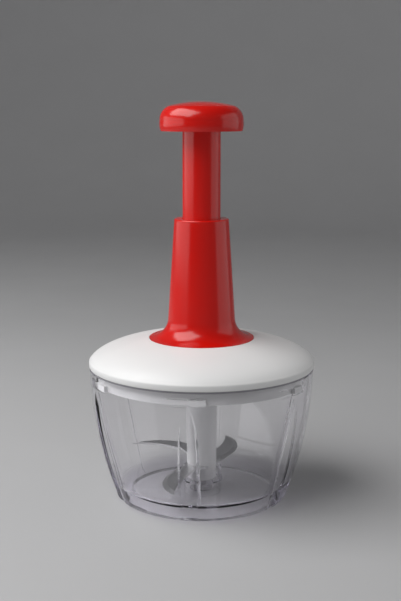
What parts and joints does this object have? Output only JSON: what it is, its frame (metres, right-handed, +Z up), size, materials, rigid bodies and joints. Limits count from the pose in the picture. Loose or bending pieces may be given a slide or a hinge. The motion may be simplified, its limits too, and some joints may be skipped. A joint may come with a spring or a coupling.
{
  "type": "plunger food chopper",
  "caption": "Hand-pressed food chopper: clear bowl with inward flutes, domed white lid, red column and mushroom knob whose push travel spins curved steel blades.",
  "frame": {"origin": "centre of the ring face that the bowl stands on", "axes": "+Z up along the column and the blade axis, +X right and +Y away from the viewer in the pictured view"},
  "size_m": [0.1408, 0.1408, 0.2468],
  "materials": {
    "clear_plastic": "clear injection-moulded plastic with polished faces",
    "white_plastic": "satin white moulded plastic",
    "red_plastic": "glossy bright red moulded plastic",
    "pale_plastic": "natural slippery engineering plastic",
    "seal_silicone": "soft grey silicone",
    "blade_steel": "polished stainless steel with a ground edge",
    "bar_steel": "drawn stainless steel bar",
    "pin_steel": "turned stainless steel",
    "bush_metal": "polished turned metal",
    "spring_steel": "bright spring wire",
    "screw_steel": "zinc-plated pan-head screws"
  },
  "bodies": {
    "bowl_body": {"bowl": "clear_plastic", "pivot_pin": "pin_steel"},
    "seal_body": {"lid_seal": "seal_silicone"},
    "lid_body": {"lid_cover": "white_plastic", "lid_ring": "white_plastic", "column_sleeve": "red_plastic", "guide_bush": "pale_plastic", "sleeve_screws": "screw_steel", "hub_cap": "pale_plastic", "cap_screws": "screw_steel", "thrust_washer": "pale_plastic", "clutch_spring": "spring_steel", "return_spring": "spring_steel"},
    "plunger_body": {"plunger_tube": "red_plastic", "knob": "red_plastic", "bar_pin": "pin_steel", "drive_bar": "bar_steel", "spring_seat": "pin_steel"},
    "nut_body": {"drive_nut": "pale_plastic"},
    "blade_body": {"clutch_driver": "pale_plastic", "blade_post": "white_plastic", "pivot_bush": "bush_metal", "lower_blade": "blade_steel", "upper_blade": "blade_steel"}
  },
  "joints": [
    {"name": "lid_lift", "type": "slide", "parent": "bowl_body", "child": "seal_body", "axis": [0, 0, 1], "range_m": [0, 0.11]},
    {"name": "lid_turn", "type": "hinge", "parent": "seal_body", "child": "lid_body", "pos_m": [0, 0, 0.0844], "axis": [0, 0, 1], "range_deg": [-10, 0]},
    {"name": "plunger_slide", "type": "slide", "parent": "lid_body", "child": "plunger_body", "axis": [0, 0, 1], "range_m": [-0.05, 0], "stiffness_N_per_m": 260, "springref_m": 0.02, "deforming": ["return_spring"]},
    {"name": "nut_spin", "type": "hinge", "parent": "lid_body", "child": "nut_body", "pos_m": [0, 0, 0.088], "axis": [0, 0, 1], "range_deg": [-451, 1]},
    {"name": "blade_spin", "type": "hinge", "parent": "lid_body", "child": "blade_body", "pos_m": [0, 0, 0.0775], "axis": [0, 0, 1], "range_deg": [-451, 1]}
  ],
  "couplings": [
    {"joint": "nut_spin", "follows": "plunger_slide", "rad_per_m": 157.08},
    {"joint": "blade_spin", "follows": "plunger_slide", "rad_per_m": 157.08}
  ]
}
